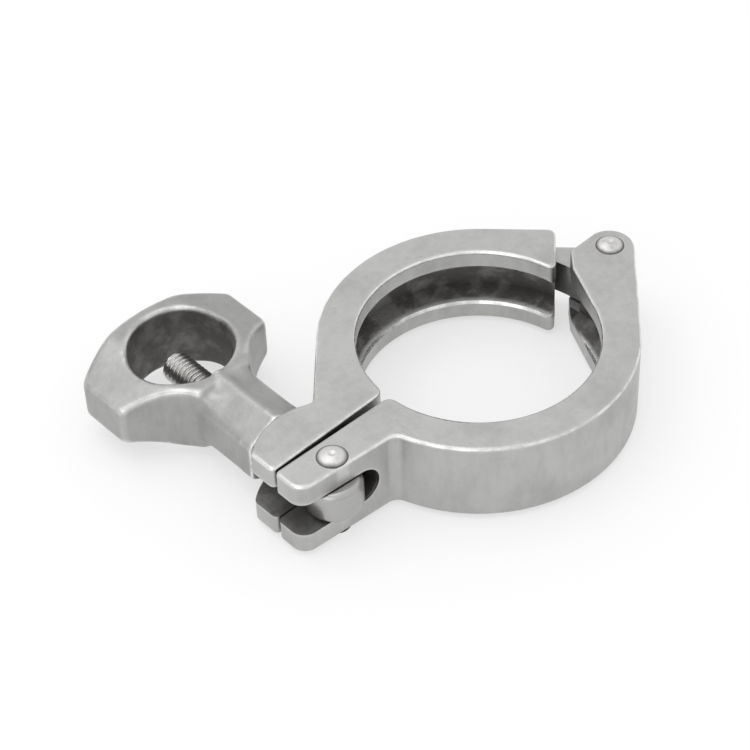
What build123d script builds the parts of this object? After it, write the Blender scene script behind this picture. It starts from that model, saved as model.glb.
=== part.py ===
"""Hinged clamp for sanitary ferrules: two cast half rings, two rivets, a swing bolt and a wing nut."""
import os
from math import acos, atan2, cos, hypot, radians, sin, sqrt, tan

from build123d import *

# The origin is the centre of the ring, half way up its height. +Z is the ring's axis,
# +X points to the hinge, +Y to the half ring that the nut bears on. Lengths are in millimetres.

# Ring
ring_height = 16.8
lip_radius = 22.6
ring_outer_radius = 29.8
groove_radius = 26.7
groove_mouth = 9.0
groove_flank = 20.0  # degrees from the plane of the ring
casting_round = 0.7  # outer edges
lip_break = 0.4  # on the lips' edges in the groove

# Hinge
hinge_x = 35.0
ear_radius = 4.7
ear_thickness = 4.5
ear_corner = (28.8, 4.4)
ear_corner_round = 1.2
ear_relief_end = (25.4, 0.6)
ear_relief_start = (20.2, -10.0)
tongue_side_gap = 0.3
tongue_radial_gap = 0.6
tongue_bite = 0.5  # how far its inner face lies inside the ring's outer face
tongue_room_below = 0.5  # of the room for it, below the hinge's centre line
back_end_slant = 45.0  # degrees from the X axis
back_end_inset = 2.1  # from the lip to where the slanted end face would meet the X axis
back_end_round = 1.5
tongue_root_x = 27.0
hinge_pin_radius = 2.3
hinge_head_radius = 2.75
rivet_head_height = 0.9
rivet_dimple_radius = 0.75
rivet_dimple_depth = 0.3
running_gap = 0.05

# Lugs and their slots
lug_end_x = -50.0
front_lug_face_y = -8.1  # at the ring
front_lug_taper = 1.1  # how much nearer the face lies at the lug's tip
parting_y = -0.3
parting_gap = 0.4  # between the lugs at their tips
parting_rise = 1.0  # how much wider that gap is at the ring
slot_height = 7.6
slot_end_x = -32.4
lug_corner = 3.0
seat_corner = 1.6
shoulder_x = -33.5  # where the back lug's seat turns towards the ring
shoulder_round = 1.5
parting_corner = 1.1
lug_root_round = 2.4
inner_corner = 2.0

# Swing bolt
bolt_x = -40.2
bolt_y = -4.6
bolt_pin_radius = 2.3
bolt_head_radius = 2.9
eye_radius = 5.4
eye_side_gap = 0.3
eye_rim_round = 1.0
thread_radius = 3.0
bolt_reach = 45.0  # from its pin to its tip
bolt_tip_chamfer = 0.6

# Wing nut
seat_radius = 14.3  # the back lug's face round the bolt pin
seat_gap = 0.3
neck_corner_radius = 7.75
neck_ridge_round = 1.4
neck_overlap = 3.5  # how far the neck runs on past the near side of the eyelet
thread_gap = 0.06
eyelet_radius = 9.9
eyelet_from_seat = 27.2
eyelet_wall = 3.0
eyelet_round = 0.8
head_half_thickness = 7.2  # beside the eyelet
tip_half_thickness = 4.1
wing_reach = 7.7  # past the eyelet's rim
wing_taper_from = 8.0  # from the nut's axis, where the wings start to thin
wing_crease_round = 8.0
wing_near = 3.8  # on the neck's side of the eyelet's centre
wing_far = 7.6  # past the eyelet's centre
wing_root = 2.9  # on the neck's side of the eyelet's rim
wing_root_inset = 0.6  # from the neck's flats
wing_hollow = 1.6  # how far the near edge curves in
wing_edge_round = 1.0
wing_tip_round = 1.6

half_height = ring_height / 2
slot_half = slot_height / 2
ear_inner_z = half_height - ear_thickness
tongue_half = ear_inner_z - tongue_side_gap
seat_y = bolt_y + seat_radius + seat_gap
tongue_inner_radius = ring_outer_radius - tongue_bite
back_end_x = lip_radius - back_end_inset
wing_half_span = eyelet_radius + wing_reach
far = 3 * ring_outer_radius  # clear of the whole clamp


def nearest(vertices, x, y):
    """The corner of a sketch that lies nearest to a point."""
    return min(vertices, key=lambda v: (v.X - x) ** 2 + (v.Y - y) ** 2)


def shell_outline():
    """The ring's outer circle, drawn out to the hinge by two tangent lines."""
    with BuildSketch(mode=Mode.PRIVATE) as shell:
        Circle(ring_outer_radius)
        with Locations((hinge_x, 0)):
            Circle(ear_radius)
        make_hull()
    return shell.sketch


def ring_tangent(x, y):
    """Where a line from a point beside the ring, on its near side, touches the outer circle."""
    turn = atan2(y, x) - acos(ring_outer_radius / hypot(x, y))
    return ring_outer_radius * cos(turn), ring_outer_radius * sin(turn)


def seat_on_lug(x):
    """Where the back lug's face lies, on its arc round the bolt pin."""
    return bolt_y + sqrt(seat_radius ** 2 - (x - bolt_x) ** 2)


def front_face(x):
    """The front lug's outer face, which draws in towards its tip."""
    return front_lug_face_y + front_lug_taper * (-ring_outer_radius - x) / (-ring_outer_radius - lug_end_x)


def back_parting(x):
    """The back lug's parting face, which draws away from the front lug towards the ring."""
    return parting_y + parting_gap + parting_rise * (x - lug_end_x) / (-lip_radius - lug_end_x)


def groove_body():
    """The ring that leaves the V groove between the two lips, and breaks the lips' sharp edges."""
    depth = groove_radius - lip_radius
    slope = tan(radians(groove_flank))
    inside = lip_radius - lip_break
    mouth = groove_mouth / 2
    floor = mouth - depth * slope
    wide = mouth + 2 * lip_break
    upper = [(inside, wide),
             (lip_radius, mouth + lip_break),
             (lip_radius + lip_break, mouth - lip_break * slope),
             (groove_radius, floor)]
    lower = [(r, -z) for r, z in reversed(upper)]
    with BuildPart(mode=Mode.PRIVATE) as groove:
        with BuildSketch(Plane.XZ):
            Polygon(*upper, *lower, align=None)
        revolve(axis=Axis.Z)
    return groove.part


def bolt_slot(y_from, y_to):
    """The slot for the bolt, open at the lug's end and round at the ring."""
    length = far - abs(slot_end_x)
    with BuildPart(mode=Mode.PRIVATE) as slot:
        with BuildSketch(Plane.XZ.offset(-y_from)):
            with Locations((slot_end_x - slot_half, 0)):
                Circle(slot_half)
            with Locations((slot_end_x - slot_half - length / 2, 0)):
                Rectangle(length, slot_height)
        extrude(amount=-(y_to - y_from))
    return slot.part


def rivet(x, y, shank_radius, head_radius):
    """A rivet through the whole height, with a low dome and its dimple at each end."""
    dome = (head_radius ** 2 + rivet_head_height ** 2) / (2 * rivet_head_height)
    dome_centre = half_height + rivet_head_height - dome
    rim = dome_centre + sqrt(dome ** 2 - rivet_dimple_radius ** 2)
    side = (head_radius / 2, dome_centre + sqrt(dome ** 2 - head_radius ** 2 / 4))
    dimple = rim - rivet_dimple_depth
    with BuildPart(mode=Mode.PRIVATE) as pin:
        with BuildSketch(Plane.XZ):
            with BuildLine():
                Line((0, dimple), (rivet_dimple_radius, rim))
                ThreePointArc((rivet_dimple_radius, rim), side, (head_radius, half_height))
                Polyline((head_radius, half_height), (shank_radius, half_height), (shank_radius, 0),
                         (0, 0), (0, dimple))
            make_face()
        revolve(axis=Axis.Z)
        mirror(about=Plane.XY)
    return pin.part.moved(Location((x, y, 0)))


def place_rounds(sketch, rounds):
    """Rounds the corners nearest to the given points, each by its own radius."""
    for x, y, radius in rounds:
        fillet(nearest(sketch.vertices(), x, y), radius)


def flat_rims(part):
    """The edges round the two flat sides of a half ring."""
    return part.edges().filter_by(lambda e: abs(abs(e.center().Z) - half_height) < 0.001)


# Front half: the ears of the hinge, and the lug that holds the bolt's eye.
with BuildPart() as front_half:
    with BuildSketch() as front_outline:
        add(shell_outline())
        Polygon((-far, parting_y), (0, parting_y), (0, 0), (far, 0), (far, far), (-far, far),
                align=None, mode=Mode.SUBTRACT)
        with Locations((hinge_x, 0)):
            Circle(ear_radius)
        Polygon(ear_relief_end, ear_corner, (hinge_x, ear_radius), (hinge_x, 0), (lip_radius, 0),
                align=None)
        lug_inner_x = -lip_radius / 2
        Polygon((lug_end_x, parting_y), (lug_inner_x, parting_y), (lug_inner_x, front_face(lug_inner_x)),
                (lug_end_x, front_face(lug_end_x)), align=None)
        Circle(lip_radius, mode=Mode.SUBTRACT)
        Polygon(ear_relief_start, ear_relief_end, (0, ear_relief_end[1]), (0, ear_relief_start[1]),
                align=None, mode=Mode.SUBTRACT)
        place_rounds(front_outline, [
            (lug_end_x, front_face(lug_end_x), lug_corner),
            (lug_end_x, parting_y, parting_corner),
            (-ring_outer_radius, front_lug_face_y, lug_root_round),
            (-lip_radius, parting_y, inner_corner),
            (*ear_corner, ear_corner_round),
            (*ear_relief_end, ear_corner_round)])
    extrude(amount=half_height, both=True)
    fillet(flat_rims(front_half), casting_round)
    add(groove_body(), mode=Mode.SUBTRACT)
    with BuildSketch() as tongue_room:
        with Locations((hinge_x, 0)):
            Circle(ear_radius + tongue_radial_gap)
        Polygon((lip_radius, -tongue_room_below), (far, -tongue_room_below), (far, far), (lip_radius, far),
                align=None)
    extrude(amount=ear_inner_z, both=True, mode=Mode.SUBTRACT)
    add(bolt_slot(front_lug_face_y - eye_radius, parting_y + eye_radius), mode=Mode.SUBTRACT)
    with Locations((hinge_x, 0)):
        Hole(hinge_pin_radius)
    with Locations((bolt_x, bolt_y)):
        Hole(bolt_pin_radius)

# Back half: the tongue of the hinge, and the lug that the nut bears on.
with BuildPart() as back_half:
    shoulder = (shoulder_x, seat_on_lug(shoulder_x))
    slant = tan(radians(back_end_slant))
    with BuildSketch() as back_outline:
        add(shell_outline())
        Polygon((-far, 0), (lug_end_x, back_parting(lug_end_x)), (0, back_parting(0)), (back_end_x, 0),
                (far, slant * (far - back_end_x)), (far, -far), (-far, -far), align=None, mode=Mode.SUBTRACT)
        with BuildLine():
            RadiusArc(shoulder, (lug_end_x, seat_on_lug(lug_end_x)), -seat_radius)
            Polyline((lug_end_x, seat_on_lug(lug_end_x)), (lug_end_x, back_parting(lug_end_x)),
                     (0, back_parting(0)), ring_tangent(*shoulder), shoulder)
        make_face()
        Circle(lip_radius, mode=Mode.SUBTRACT)
        place_rounds(back_outline, [
            (lug_end_x, seat_on_lug(lug_end_x), seat_corner),
            (lug_end_x, back_parting(lug_end_x), parting_corner),
            (*shoulder, shoulder_round),
            (-lip_radius, back_parting(-lip_radius), inner_corner),
            (hinge_x - ear_radius, slant * (hinge_x - ear_radius - back_end_x), back_end_round),
            (back_end_x, 0, ear_corner_round)])
    extrude(amount=half_height, both=True)
    fillet(flat_rims(back_half), casting_round)
    add(groove_body(), mode=Mode.SUBTRACT)
    with BuildSketch() as tongue_outline:
        add(shell_outline())
        Polygon((-far, 0), (far, 0), (far, -far), (-far, -far), align=None, mode=Mode.SUBTRACT)
        Circle(tongue_inner_radius, mode=Mode.SUBTRACT)
        with Locations((hinge_x, 0)):
            Circle(ear_radius)
        Polygon((0, 0), (0, far), (tongue_root_x, far), (tongue_root_x, 0), align=None, mode=Mode.SUBTRACT)
    extrude(amount=tongue_half, both=True)
    add(bolt_slot(parting_y, seat_y), mode=Mode.SUBTRACT)
    with Locations((hinge_x, 0)):
        Hole(hinge_pin_radius + running_gap)

# Rivets
with BuildPart() as hinge_pin:
    add(rivet(hinge_x, 0, hinge_pin_radius, hinge_head_radius))

with BuildPart() as bolt_pin:
    add(rivet(bolt_x, bolt_y, bolt_pin_radius, bolt_head_radius))

# Swing bolt: an eye round its rivet, and a threaded shank.
with BuildPart() as swing_bolt:
    with Locations((bolt_x, bolt_y, 0)):
        Cylinder(eye_radius, slot_height - 2 * eye_side_gap)
    fillet(swing_bolt.edges().filter_by(GeomType.CIRCLE), eye_rim_round)
    with BuildSketch(Plane.XZ.offset(-bolt_y)):
        with Locations((bolt_x, 0)):
            Circle(thread_radius)
    extrude(amount=-bolt_reach)
    chamfer(swing_bolt.faces().sort_by(Axis.Y)[-1].edges(), bolt_tip_chamfer)
    with Locations((bolt_x, bolt_y, 0)):
        Hole(bolt_pin_radius + running_gap)

# Wing nut: a six-sided neck, and a head with two wings, thinner at their tips, round a large eyelet.
with BuildPart() as wing_nut:
    head_y = seat_y + eyelet_from_seat
    crest_y = head_y + eyelet_radius + eyelet_wall
    wing_y = (head_y - wing_near, head_y + wing_far)
    root_y = head_y - eyelet_radius - wing_root
    root_half = neck_corner_radius * cos(radians(30)) - wing_root_inset
    with BuildSketch() as head_outline:
        with BuildLine():
            right = [(bolt_x + wing_half_span, y) for y in wing_y]
            left = [(bolt_x - wing_half_span, y) for y in wing_y]
            root_right = (bolt_x + root_half, root_y)
            root_left = (bolt_x - root_half, root_y)
            ThreePointArc(left[1], (bolt_x, crest_y), right[1])
            Line(right[1], right[0])
            SagittaArc(right[0], root_right, -wing_hollow)
            Line(root_right, root_left)
            SagittaArc(root_left, left[0], -wing_hollow)
            Line(left[0], left[1])
        make_face()
        for corner in (*left, *right):
            fillet(nearest(head_outline.vertices(), *corner), wing_tip_round)
    extrude(amount=head_half_thickness, both=True)
    with BuildSketch(Plane.XZ.offset(-crest_y)) as head_section:
        upper = [(bolt_x - wing_half_span, tip_half_thickness),
                 (bolt_x - wing_taper_from, head_half_thickness),
                 (bolt_x + wing_taper_from, head_half_thickness),
                 (bolt_x + wing_half_span, tip_half_thickness)]
        Polygon(*upper, *[(x, -z) for x, z in reversed(upper)], align=None)
        for x, z in upper[1:3]:
            fillet(nearest(head_section.vertices(), x, z), wing_crease_round)
            fillet(nearest(head_section.vertices(), x, -z), wing_crease_round)
    extrude(amount=crest_y - seat_y, mode=Mode.INTERSECT)
    fillet(wing_nut.edges().filter_by(lambda e: abs(e.tangent_at(0.5).Z) < 0.9), wing_edge_round)
    with Locations((bolt_x, head_y, 0)):
        Hole(eyelet_radius)
    fillet(wing_nut.edges().filter_by(GeomType.CIRCLE).filter_by(
        lambda e: abs(e.radius - eyelet_radius) < 0.01), eyelet_round)
    with BuildSketch(Plane.XZ.offset(-seat_y)) as neck_outline:
        with Locations((bolt_x, 0)):
            RegularPolygon(neck_corner_radius, 6, rotation=30)
        fillet(neck_outline.vertices(), neck_ridge_round)
    extrude(amount=-(eyelet_from_seat - eyelet_radius + neck_overlap))
    with Locations((bolt_x, head_y, 0)):
        Hole(eyelet_radius)
    with BuildSketch(Plane.XZ.offset(-seat_y)):
        with Locations((bolt_x, 0)):
            Circle(thread_radius + thread_gap)
    extrude(amount=-eyelet_from_seat, mode=Mode.SUBTRACT)

for piece, name in ((front_half, "front_half"), (back_half, "back_half"), (hinge_pin, "hinge_pin"),
                    (bolt_pin, "bolt_pin"), (swing_bolt, "swing_bolt"), (wing_nut, "wing_nut")):
    piece.part.label = name
    os.makedirs("parts", exist_ok=True)
    export_step(piece.part, f"parts/{name}.step")
    print(name, round(piece.part.volume), "mm3")
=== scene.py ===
from math import atan2, cos, pi, radians, sin

import bpy
from mathutils import Matrix, Vector


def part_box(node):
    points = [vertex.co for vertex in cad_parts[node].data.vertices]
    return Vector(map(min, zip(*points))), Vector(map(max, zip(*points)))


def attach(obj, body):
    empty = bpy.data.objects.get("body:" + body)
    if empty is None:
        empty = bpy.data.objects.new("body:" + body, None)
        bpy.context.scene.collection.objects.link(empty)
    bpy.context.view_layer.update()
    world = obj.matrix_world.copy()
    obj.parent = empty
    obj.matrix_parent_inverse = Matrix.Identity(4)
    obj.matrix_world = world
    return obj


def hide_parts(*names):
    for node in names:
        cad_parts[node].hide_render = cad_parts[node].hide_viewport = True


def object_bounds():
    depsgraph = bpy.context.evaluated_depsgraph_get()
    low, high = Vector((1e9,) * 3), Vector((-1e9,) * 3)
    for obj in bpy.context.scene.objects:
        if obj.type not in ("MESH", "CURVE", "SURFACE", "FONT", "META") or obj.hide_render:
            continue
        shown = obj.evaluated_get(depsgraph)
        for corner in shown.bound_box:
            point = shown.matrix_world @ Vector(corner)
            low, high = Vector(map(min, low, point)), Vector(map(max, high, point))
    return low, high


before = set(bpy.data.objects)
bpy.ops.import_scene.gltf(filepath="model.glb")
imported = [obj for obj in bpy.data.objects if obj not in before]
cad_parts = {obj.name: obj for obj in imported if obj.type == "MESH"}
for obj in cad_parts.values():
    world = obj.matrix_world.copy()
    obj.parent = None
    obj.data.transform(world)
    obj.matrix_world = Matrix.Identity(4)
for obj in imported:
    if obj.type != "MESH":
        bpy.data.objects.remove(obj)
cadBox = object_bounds()
print("frame loaded")


# Helpers for modelling.
def deselectAll():
    if bpy.context.object and bpy.context.object.mode != "OBJECT":
        bpy.ops.object.mode_set(mode="OBJECT")
    bpy.ops.object.select_all(action="DESELECT")


def takeUp(piece):  # make a piece the only selected one
    deselectAll()
    piece.select_set(True)
    bpy.context.view_layer.objects.active = piece


def settle(piece):  # the place goes into the mesh
    takeUp(piece)
    bpy.ops.object.transform_apply(location=True, rotation=True, scale=True)


def applyAll(piece):
    takeUp(piece)
    for modifier in list(piece.modifiers):
        bpy.ops.object.modifier_apply(modifier=modifier.name)


def nodeObject(name):  # the object of a CAD node
    return bpy.data.objects[name]


def roundBar(name, radius, depth, place, turn=(0, 0, 0), facets=96):
    deselectAll()
    bpy.ops.mesh.primitive_cylinder_add(vertices=facets, radius=radius, depth=depth, location=place,
                                        rotation=turn)
    bar = bpy.context.object
    bar.name = name
    settle(bar)
    return bar


def selectEdges(piece, test):  # edges whose middle passes, left selected in edit mode
    takeUp(piece)
    bpy.ops.object.mode_set(mode="EDIT")
    bpy.ops.mesh.select_mode(type="EDGE")
    bpy.ops.mesh.select_all(action="DESELECT")
    bpy.ops.object.mode_set(mode="OBJECT")
    points = piece.data.vertices
    for edge in piece.data.edges:
        first, second = [points[n].co for n in edge.vertices]
        edge.select = test((first + second) / 2, second - first)
    bpy.ops.object.mode_set(mode="EDIT")


def combine(kept, cutter, operation):  # a boolean, applied, with its tool removed
    modifier = kept.modifiers.new("cut", "BOOLEAN")
    modifier.operation = operation
    modifier.solver = "EXACT"
    modifier.object = cutter
    applyAll(kept)
    bpy.data.objects.remove(cutter, do_unlink=True)


class Wire:  # a socket in a material, for use in sums
    def __init__(self, tree, socket=None):
        self.tree = tree
        self.socket = socket

    def node(self, kind, settings=None, inputs=None, output=0):
        made = self.tree.nodes.new(kind)
        for name, value in (settings or {}).items():
            setattr(made, name, value)
        for name, value in (inputs or {}).items():
            if isinstance(value, Wire):
                self.tree.links.new(value.socket, made.inputs[name])
            else:
                made.inputs[name].default_value = value
        return Wire(self.tree, made.outputs[output] if made.outputs else None)

    def maths(self, operation, *values):
        return self.node("ShaderNodeMath", {"operation": operation}, dict(enumerate(values)))

    def __add__(self, other):
        return self.maths("ADD", self, other)

    def __radd__(self, other):
        return self.maths("ADD", other, self)

    def __sub__(self, other):
        return self.maths("SUBTRACT", self, other)

    def __rsub__(self, other):
        return self.maths("SUBTRACT", other, self)

    def __mul__(self, other):
        return self.maths("MULTIPLY", self, other)

    def __rmul__(self, other):
        return self.maths("MULTIPLY", other, self)

    def between(self, low, high):  # 0 at low, 1 at high, smooth and held
        return self.node("ShaderNodeMapRange", {"interpolation_type": "SMOOTHSTEP"},
                         {"Value": self, "From Min": low, "From Max": high})

    def noise(self, place, scale, detail, rough):
        return self.node("ShaderNodeTexNoise", {}, {"Vector": place, "Scale": scale, "Detail": detail,
                                                    "Roughness": rough}, "Fac")

    def stretched(self, place, scale):
        return self.node("ShaderNodeMapping", {}, {"Vector": place, "Scale": scale})

    def part(self, place, axis):
        return self.node("ShaderNodeSeparateXYZ", {}, {"Vector": place}, axis)

    def openness(self, reach, samples=8, inside=False):  # how little lies within reach
        return self.node("ShaderNodeAmbientOcclusion", {"samples": samples, "inside": inside},
                         {"Distance": reach}, "AO")

    def bumps(self, height, strength, depth):
        return self.node("ShaderNodeBump", {}, {"Strength": strength, "Distance": depth, "Height": height})

    def blendColours(self, factor, first, second):
        return self.node("ShaderNodeMix", {"data_type": "RGBA"},
                         {"Factor": factor, 6: first, 7: second}, 2)


def newMaterial(name):
    material = bpy.data.materials.new(name)
    material.use_nodes = True
    material.node_tree.nodes.clear()
    return material, Wire(material.node_tree)


def finishMetal(wire, colour, roughness, bump):
    shader = wire.node("ShaderNodeBsdfPrincipled", {}, {"Base Color": colour, "Metallic": 1.0,
                                                        "Roughness": roughness, "Normal": bump})
    wire.node("ShaderNodeOutputMaterial", {}, {"Surface": shader})


# Steel finishes.
castFinish = {
    "steel": (0.500, 0.498, 0.490, 1),
    "patchy": (0.405, 0.403, 0.396, 1),
    "asCastAndShade": (0.130, 0.126, 0.121, 1),  # unpolished cast surface and painted shade, down in the grooves, slots and the eyelet
    "wornAndSheen": (0.800, 0.800, 0.792, 1),  # edges rubbed bright by wear, and a painted highlight along the rounded edges
    # painted shade in corners and crevices, where walls close in
    "paintedCornerShade": (0.045, 0.043, 0.040, 1),
    "roughness": 0.40,
    "blotch": 95.0,  # noise scales, per metre
    "streak": 620.0,
    "grain": 1700.0,
    "stain": 210.0,
    "pitting": 900.0,
    "wear": 330.0,
    "bumpDepth": 0.00010,
    "crevice": 0.009,  # how far the painted corner shade looks for a wall
    "cornerShading": 0.55,  # strengths, of 1
    "rubAndSheen": 0.55,
    "brightening": 0.8,
    "pitTone": 0.12,
    "rubAndSheenReach": 0.0011,  # how far from an edge the rubbing and the painted edge highlight reach
}

ringPlaces = {  # pairs run from where a mask is 0 to where it is 1
    "groove": (0.0229, 0.0240),  # radii, where the lip turns into the groove
    "grooveEnd": (0.0273, 0.0270),
    "grooveHalf": (0.0054, 0.0044),  # heights
    "slotEnd": (-0.0320, -0.0322),
    "slotHalf": (0.00392, 0.00375),
    "frontFace": (-0.0076, -0.0072),
    "backFace": (0.0082, 0.0078),
}

nutPlaces = {
    "eyeletFromSeat": 0.0272,
    "eyelet": (0.0110, 0.0103),
    "rim": (0.0072, 0.0060),
}


def ringRecesses(w, place):  # 1 inside the groove and the bolt's slot
    x = w.part(place, "X")
    y = w.part(place, "Y")
    height = w.maths("ABSOLUTE", w.part(place, "Z"))
    radius = w.maths("SQRT", x * x + y * y)
    groove = radius.between(*ringPlaces["groove"]) * radius.between(*ringPlaces["grooveEnd"])
    groove = groove * height.between(*ringPlaces["grooveHalf"])
    slot = x.between(*ringPlaces["slotEnd"]) * height.between(*ringPlaces["slotHalf"])
    lug = y.between(*ringPlaces["frontFace"]) * y.between(*ringPlaces["backFace"])
    return w.maths("MAXIMUM", groove, slot * lug)


def ringEdges(w):  # the rounded edges are the only places that slope between flat and upright
    slope = w.maths("ABSOLUTE", w.part(w.node("ShaderNodeTexCoord", output="Normal"), "Z"))
    return slope.between(0.12, 0.45) * (1 - slope.between(0.78, 0.96))


def nutRecesses(w, place):  # 1 on the eyelet's wall
    low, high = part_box("wing_nut")
    x = w.part(place, "X") - (low[0] + high[0]) / 2
    y = w.part(place, "Y") - (low[1] + nutPlaces["eyeletFromSeat"])
    height = w.maths("ABSOLUTE", w.part(place, "Z"))
    radius = w.maths("SQRT", x * x + y * y)
    return radius.between(*nutPlaces["eyelet"]) * height.between(*nutPlaces["rim"])


def nutEdges(w):
    return w.node("ShaderNodeNewGeometry", output="Pointiness").between(0.503, 0.535)


def shaded(colour, factor):
    return (*[channel * factor for channel in colour[:3]], 1)


def castSteel(name, recesses, edges, shade):
    look = castFinish
    material, w = newMaterial(name)
    place = w.node("ShaderNodeTexCoord", output="Object")
    blotch = w.noise(place, look["blotch"], 4.0, 0.55)
    streak = w.noise(w.stretched(place, (1, 1, 0.25)), look["streak"], 4.0, 0.65)
    grain = w.noise(place, look["grain"], 3.0, 0.65)
    stain = w.noise(place, look["stain"], 3.0, 0.6).between(0.36, 0.60)
    pits = w.noise(place, look["pitting"], 2.0, 0.5).between(0.66, 0.78)
    wear = w.noise(place, look["wear"], 3.0, 0.6).between(0.3, 0.65)
    openness = w.openness(look["crevice"])
    # Lighter rounded edges: rubbed wear, and a painted highlight along every edge.
    edge = edges(w) * openness.between(0.35, 0.75) * (0.45 + 0.9 * wear)
    rim = 1 - w.openness(look["rubAndSheenReach"], 6, True).between(0.45, 0.95)
    edge = w.maths("MAXIMUM", edge, rim * openness.between(0.6, 0.9) * look["rubAndSheen"])
    # Painted shade: darker wherever walls close in, in corners and crevices.
    corner = 1 - openness.between(0.06, 0.50)
    asCastAndShade = recesses(w, place)
    tone = ((blotch - 0.5) * 2.1 + (streak - 0.5) * 1.2 + 0.28).between(-0.2, 1.0)
    colour = w.blendColours(tone, *[shaded(look[key], shade) for key in ("steel", "patchy")])
    # Painted edge highlight, with rubbed wear, laid over the colour.
    colour = w.blendColours(edge * look["brightening"], colour, look["wornAndSheen"])
    colour = w.blendColours(pits * look["pitTone"], colour, look["asCastAndShade"])
    # Painted shade, with the darker unpolished casting, down in the groove, the bolt's slot and the
    # eyelet.
    colour = w.blendColours(asCastAndShade * (0.62 + 0.38 * stain), colour, look["asCastAndShade"])
    # Painted corner shade laid over the colour.
    colour = w.blendColours(corner * look["cornerShading"], colour, look["paintedCornerShade"])
    roughness = look["roughness"] + (blotch - 0.5) * 0.20 + (grain - 0.5) * 0.15
    roughness = roughness - edge * 0.12 + asCastAndShade * 0.2
    height = grain * 0.6 + streak * 0.5 + blotch * 0.9 - pits * 0.5 + asCastAndShade * grain * 1.5
    finishMetal(w, colour, roughness, w.bumps(height, 0.5, look["bumpDepth"]))
    return material


rivetFinish = {
    "steel": (0.66, 0.655, 0.645, 1),
    "dull": (0.46, 0.455, 0.445, 1),
    # painted shade round the foot of each head
    "rim": (0.07, 0.068, 0.064, 1),
    "roughness": 0.52,
    "shadedFootHeight": (0.00840, 0.00892),  # where the painted shade at the foot of a head ends, from the ring's middle
    "bumpDepth": 0.00008,
}


def rivetSteel():
    look = rivetFinish
    material, w = newMaterial("rivetSteel")
    place = w.node("ShaderNodeTexCoord", output="Object")
    patch = w.noise(place, 420.0, 4.0, 0.6)
    fine = w.noise(place, 2600.0, 2.0, 0.6)
    height = w.maths("ABSOLUTE", w.part(place, "Z"))
    # Painted shade round the foot of the head, where it meets the ring.
    footShade = 1 - height.between(*look["shadedFootHeight"])
    colour = w.blendColours(patch.between(0.50, 0.75), look["steel"], look["dull"])
    colour = w.blendColours(footShade * 0.9, colour, look["rim"])
    roughness = look["roughness"] + (patch - 0.5) * 0.25 + footShade * 0.2
    finishMetal(w, colour, roughness, w.bumps(patch * 1.2 + fine * 0.3, 0.35, look["bumpDepth"]))
    return material


boltFinish = {
    "steel": (0.66, 0.655, 0.645, 1),
    "dull": (0.48, 0.475, 0.465, 1),
    # painted shade in the thread's roots and where walls close in
    "rootShade": (0.20, 0.195, 0.187, 1),
    # painted shade on the eye, which sits down in the lug's slot
    "eye": (0.43, 0.427, 0.418, 1),
    "eyeEnd": 0.012,  # from the bolt's low end, where the painted shade on the eye ends
    "eyeBlend": 0.002,
    "roughness": 0.30,
    "crevice": 0.0012,
    "bumpDepth": 0.00006,
}


def boltSteel():
    look = boltFinish
    material, w = newMaterial("boltSteel")
    place = w.node("ShaderNodeTexCoord", output="Object")
    patch = w.noise(place, 260.0, 4.0, 0.6)
    fine = w.noise(place, 2200.0, 2.0, 0.6)
    # Painted shade, darker where walls close in, in the thread's roots.
    corner = 1 - w.openness(look["crevice"]).between(0.25, 0.80)
    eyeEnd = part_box("swing_bolt")[0][1] + look["eyeEnd"]
    # Painted shade on the eye, down in the lug's slot.
    eye = w.part(place, "Y").between(eyeEnd + look["eyeBlend"], eyeEnd)
    colour = w.blendColours(patch.between(0.45, 0.70) * 0.7, look["steel"], look["dull"])
    colour = w.blendColours(eye * (0.6 + 0.8 * (1 - patch)), colour, look["eye"])
    colour = w.blendColours(corner * 0.6, colour, look["rootShade"])
    roughness = look["roughness"] + (patch - 0.5) * 0.2 + (fine - 0.5) * 0.1
    finishMetal(w, colour, roughness, w.bumps(patch + fine * 0.4, 0.3, look["bumpDepth"]))
    return material


ringSteel = castSteel("ringSteel", ringRecesses, ringEdges, 1.0)
nutSteel = castSteel("nutSteel", nutRecesses, nutEdges, 0.80)
pinSteel = rivetSteel()
screwSteel = boltSteel()
for nodeName, finish in (("front_half", ringSteel), ("back_half", ringSteel), ("wing_nut", nutSteel),
                         ("hinge_pin", pinSteel), ("bolt_pin", pinSteel)):
    for slot in nodeObject(nodeName).material_slots:
        slot.material = finish
print("finishes made")


# The cast wing nut, with the soft edges of a casting.
nutCasting = {  # in millimetres, as the nut is modelled before it is brought to metres
    "voxel": 0.30,
    "softening": 14,  # rounds of smoothing
    "neckSoftening": 45,
    "blendFrom": 9.0,  # from the seat, where the neck starts to widen into the head
    "blendTo": 15.6,
    "blendNeck": 6.9,
    "blendHead": (5.9, 6.3),  # half the width and height where the blend meets the head
    "blendEnds": 0.4,  # thickness of the two ends that the blend is stretched between
    "bore": 3.2,
    "boreClear": 4.6,  # what lies nearer the axis isn't softened further
    "seatClear": 3.2,  # nor what lies nearer the seat
    "headFade": 4.0,  # over which the further softening fades out
    "headReach": 2.0,  # how far it runs on past the blend
}


def neckBlend(middleX, seatY):  # the widening of the neck as it runs into the head
    size = nutCasting
    headX, headZ = size["blendHead"]
    fromY = seatY + size["blendFrom"]
    toY = seatY + size["blendTo"]
    lying = (radians(90), 0, 0)
    blend = roundBar("neckBlend", size["blendNeck"], size["blendEnds"], (middleX, fromY, 0), lying, 6)
    deselectAll()
    bpy.ops.mesh.primitive_cube_add(size=1, location=(middleX, toY, 0),
                                    scale=(2 * headX, size["blendEnds"], 2 * headZ))
    headEnd = bpy.context.object
    settle(headEnd)
    headEnd.select_set(True)
    blend.select_set(True)
    bpy.context.view_layer.objects.active = blend
    bpy.ops.object.join()
    bpy.ops.object.mode_set(mode="EDIT")
    bpy.ops.mesh.select_all(action="SELECT")
    bpy.ops.mesh.convex_hull()
    bpy.ops.object.mode_set(mode="OBJECT")
    combine(blend, roundBar("blendBore", size["bore"], 4 * toY, (middleX, fromY, 0), lying), "DIFFERENCE")
    return blend


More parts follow.
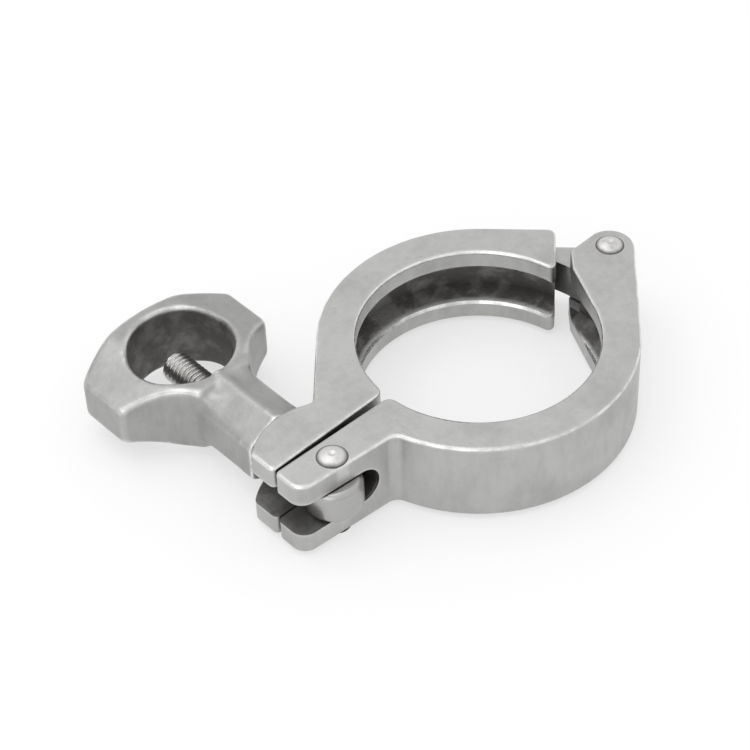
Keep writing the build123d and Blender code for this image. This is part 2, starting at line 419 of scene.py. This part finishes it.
def castNut():
    size = nutCasting
    low, high = [Vector(corner) * 1000 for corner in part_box("wing_nut")]
    middleX = (low.x + high.x) / 2
    takeUp(nodeObject("wing_nut"))
    bpy.ops.object.duplicate()
    nut = bpy.context.object
    nut.name = "wing_nut_cast"
    nut.scale = (1000, 1000, 1000)
    settle(nut)
    bpy.ops.object.mode_set(mode="EDIT")
    bpy.ops.mesh.select_all(action="SELECT")
    bpy.ops.mesh.remove_doubles(threshold=0.002)
    bpy.ops.object.mode_set(mode="OBJECT")
    blend = neckBlend(middleX, low.y)
    takeUp(nut)
    blend.select_set(True)
    bpy.ops.object.join()
    remesh = nut.modifiers.new("remesh", "REMESH")
    remesh.mode = "VOXEL"
    remesh.voxel_size = size["voxel"]
    applyAll(nut)
    neck = nut.vertex_groups.new(name="neck")
    neckEnd = size["blendTo"] + size["headReach"]
    for point in nut.data.vertices:
        fromAxis = Vector((point.co.x - middleX, point.co.z)).length
        fromSeat = point.co.y - low.y
        if size["seatClear"] < fromSeat < neckEnd and fromAxis > size["boreClear"]:
            neck.add([point.index], min((neckEnd - fromSeat) / size["headFade"], 1), "REPLACE")
    for name, rounds, group in (("overall", size["softening"], ""),
                                ("neck", size["neckSoftening"], "neck")):
        smooth = nut.modifiers.new(name, "SMOOTH")
        smooth.factor = 0.5
        smooth.iterations = rounds
        smooth.vertex_group = group
    applyAll(nut)
    nut.scale = (0.001, 0.001, 0.001)
    settle(nut)
    bpy.ops.object.shade_smooth()
    nut.data.materials.clear()
    nut.data.materials.append(nutSteel)
    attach(nut, "nut")
    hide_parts("wing_nut")
    return nut


softNut = castNut()
print("nut made", len(softNut.data.polygons), "faces")


# The swing bolt, with its thread.
boltSizes = {  # in millimetres, as the bolt is modelled before it is brought to metres
    "shankRadius": 2.9,
    "threadRadius": 3.0,
    "pitch": 1.0,
    "depth": 0.60,
    "plainTo": 8.5,  # from the rivet, where the thread starts
    "runOut": 1.5,
    "flat": 0.12,  # of the pitch, at crest and root
    "tipChamfer": 0.7,
    "eyeRound": 1.5,
    "boreRadius": 2.35,
    "facets": 48,
    "slices": 8,  # to a turn of the thread
}


def boltPlace():  # rivet centre, tip, eye radius and half thickness, from the frame
    low, high = [Vector(corner) * 1000 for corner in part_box("swing_bolt")]
    pinLow, pinHigh = [Vector(corner) * 1000 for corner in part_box("bolt_pin")]
    centre = (pinLow + pinHigh) / 2
    centre.z = 0
    return centre, high.y, centre.y - low.y, high.z


def threadedShank(centre, tipY):
    size = boltSizes
    length = tipY - centre.y
    bar = roundBar("boltShank", size["threadRadius"], length, (centre.x, centre.y + length / 2, 0),
                   (radians(90), 0, 0), size["facets"])
    wanted = length / size["pitch"] * size["slices"]
    for cuts in (7, int(wanted / 8)):
        selectEdges(bar, lambda middle, run: abs(run.y) > abs(run.x) + abs(run.z))
        bpy.ops.mesh.subdivide(number_cuts=cuts)
        bpy.ops.object.mode_set(mode="OBJECT")
    startY = centre.y + size["plainTo"]
    for point in bar.data.vertices:
        across = Vector((point.co.x - centre.x, 0, point.co.z))
        if across.length < size["threadRadius"] / 2:
            continue
        turn = atan2(across.z, across.x) / (2 * pi)
        phase = (point.co.y / size["pitch"] + turn) % 1
        valley = (abs(2 * phase - 1) - size["flat"]) / (1 - 2 * size["flat"])
        cut = size["depth"] * min(max(valley, 0), 1)
        ramp = min(max((point.co.y - startY) / size["runOut"], 0), 1)
        radius = size["shankRadius"] + (size["threadRadius"] - cut - size["shankRadius"]) * ramp
        radius = min(radius, size["threadRadius"] - size["tipChamfer"] + tipY - point.co.y)
        across = across.normalized() * radius
        point.co = (centre.x + across.x, point.co.y, across.z)
    return bar


def swingBolt():
    size = boltSizes
    centre, tipY, eyeRadius, eyeHalf = boltPlace()
    bolt = roundBar("swing_bolt_threaded", eyeRadius, 2 * eyeHalf, centre)
    selectEdges(bolt, lambda middle, run: abs(abs(middle.z) - eyeHalf) < 0.01)
    bpy.ops.mesh.bevel(offset=size["eyeRound"], segments=5)
    bpy.ops.object.mode_set(mode="OBJECT")
    combine(bolt, threadedShank(centre, tipY), "UNION")
    combine(bolt, roundBar("bore", size["boreRadius"], 4 * eyeHalf, centre), "DIFFERENCE")
    bolt.scale = (0.001, 0.001, 0.001)
    settle(bolt)
    bpy.ops.object.shade_smooth_by_angle(angle=radians(32))
    bolt.data.materials.clear()
    bolt.data.materials.append(screwSteel)
    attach(bolt, "bolt")
    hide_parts("swing_bolt")
    return bolt


threadedBolt = swingBolt()
print("bolt made", len(threadedBolt.data.polygons), "faces")


# Floor, light and camera.
studio = {
    "floorColour": (0.86, 0.86, 0.86, 1),
    "floorSize": 6.0,
    "floorWhite": 0.6,  # how much of what the camera sees of the floor is plain white
    "skyTop": 1.02,
    "skyHorizon": 0.85,
    "keyPower": 1.8,
    "keySize": 0.7,
    "keyPlace": (-0.15, 0.25, 0.85),
    "fillPower": 0.8,
    "fillSize": 0.6,
    "fillPlace": (-0.7, -0.3, 0.45),
}


def areaLamp(name, power, size, place, target):
    lamp = bpy.data.lights.new(name, "AREA")
    lamp.energy = power
    lamp.size = size
    holder = bpy.data.objects.new(name, lamp)
    holder.location = place
    holder.rotation_euler = (Vector(target) - Vector(place)).to_track_quat("-Z", "Y").to_euler()
    bpy.context.collection.objects.link(holder)
    return holder


def floorMaterial():
    material, w = newMaterial("paleFloor")
    seen = w.node("ShaderNodeLightPath", output="Is Camera Ray")
    mirrored = w.node("ShaderNodeLightPath", output="Is Glossy Ray")
    lit = w.node("ShaderNodeBsdfDiffuse", {}, {"Color": studio["floorColour"]})
    plain = w.node("ShaderNodeEmission", {}, {"Color": (1, 1, 1, 1), "Strength": 1.0})
    whitening = w.maths("MAXIMUM", seen, mirrored) * studio["floorWhite"]
    mixed = w.node("ShaderNodeMixShader", {}, {0: whitening, 1: lit, 2: plain})
    w.node("ShaderNodeOutputMaterial", {}, {"Surface": mixed})
    return material


def makeFloor():
    deselectAll()
    bpy.ops.mesh.primitive_plane_add(size=studio["floorSize"], location=(0, 0, cadBox[0][2]))
    floor = bpy.context.object
    floor.name = "floor"
    settle(floor)
    floor.data.materials.append(floorMaterial())
    return floor


def makeSky():
    world = bpy.data.worlds.new("studio")
    bpy.context.scene.world = world
    world.use_nodes = True
    world.node_tree.nodes.clear()
    sky = Wire(world.node_tree)
    direction = sky.node("ShaderNodeTexCoord", output="Generated")
    up = sky.part(direction, "Z").between(-0.1, 0.9)
    strength = studio["skyHorizon"] + up * (studio["skyTop"] - studio["skyHorizon"])
    lighting = sky.node("ShaderNodeBackground", {}, {"Color": (1, 1, 1, 1), "Strength": strength})
    seenWhite = sky.node("ShaderNodeBackground", {}, {"Color": (1, 1, 1, 1), "Strength": 1.0})
    cameraRay = sky.node("ShaderNodeLightPath", output="Is Camera Ray")
    shown = sky.node("ShaderNodeMixShader", {}, {0: cameraRay, 1: lighting, 2: seenWhite})
    sky.node("ShaderNodeOutputWorld", {}, {"Surface": shown})


floor = makeFloor()
makeSky()
areaLamp("key", studio["keyPower"], studio["keySize"], studio["keyPlace"], (0, 0, 0))
areaLamp("fill", studio["fillPower"], studio["fillSize"], studio["fillPlace"], (0, 0, 0))

cameraPlace = {
    "azimuth": -44.44,
    "elevation": 43.91,
    "distance": 0.450,
    "aimRight": -0.0192,  # from the ring's centre, in the plane of the view
    "aimUp": -0.0016,
    "lens": 116.2,
}


def makeCamera():
    a = radians(cameraPlace["azimuth"])
    e = radians(cameraPlace["elevation"])
    right = Vector((cos(a), sin(a), 0))
    back = Vector((sin(a) * cos(e), -cos(a) * cos(e), sin(e)))
    upward = back.cross(right)
    axes = Matrix((right, upward, back)).transposed()
    aim = Vector((cameraPlace["aimRight"], cameraPlace["aimUp"], -cameraPlace["distance"]))
    turn = Vector((0, 0, -1)).rotation_difference(aim).to_matrix()
    camera = bpy.data.objects.new("camera", bpy.data.cameras.new("camera"))
    camera.data.lens = cameraPlace["lens"]
    camera.data.sensor_width = 36
    camera.data.clip_start = 0.01
    camera.matrix_world = Matrix.Translation(back * cameraPlace["distance"]) @ (axes @ turn).to_4x4()
    bpy.context.collection.objects.link(camera)
    bpy.context.scene.camera = camera


makeCamera()
bpy.context.scene.view_settings.view_transform = "Standard"
print("studio set")
